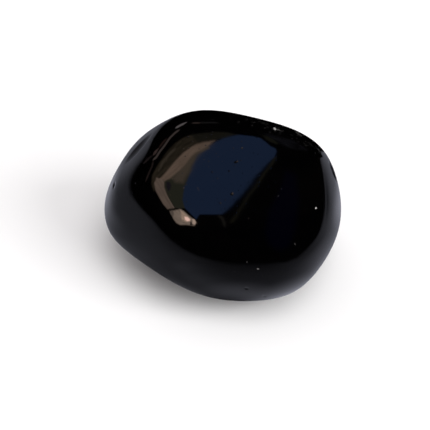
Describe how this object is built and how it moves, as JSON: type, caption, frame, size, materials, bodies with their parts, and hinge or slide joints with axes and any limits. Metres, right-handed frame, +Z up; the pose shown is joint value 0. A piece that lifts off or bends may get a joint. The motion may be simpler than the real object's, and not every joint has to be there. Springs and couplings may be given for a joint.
{
  "type": "tumbled obsidian stone",
  "caption": "Glossy black pebble of tumbled volcanic glass with softly worn faces, a few dents and chips, and a flattened sole that it rests on.",
  "frame": {"origin": "under the middle of the pebble's bounding box, on the surface that it rests on", "axes": "+Z up, +X along the longest side, -Y towards the viewer, where the broad worn face leans"},
  "size_m": [0.0312, 0.0258, 0.0215],
  "materials": {
    "stone": "polished"
  },
  "bodies": {
    "root": {"stone": "stone"}
  },
  "joints": []
}
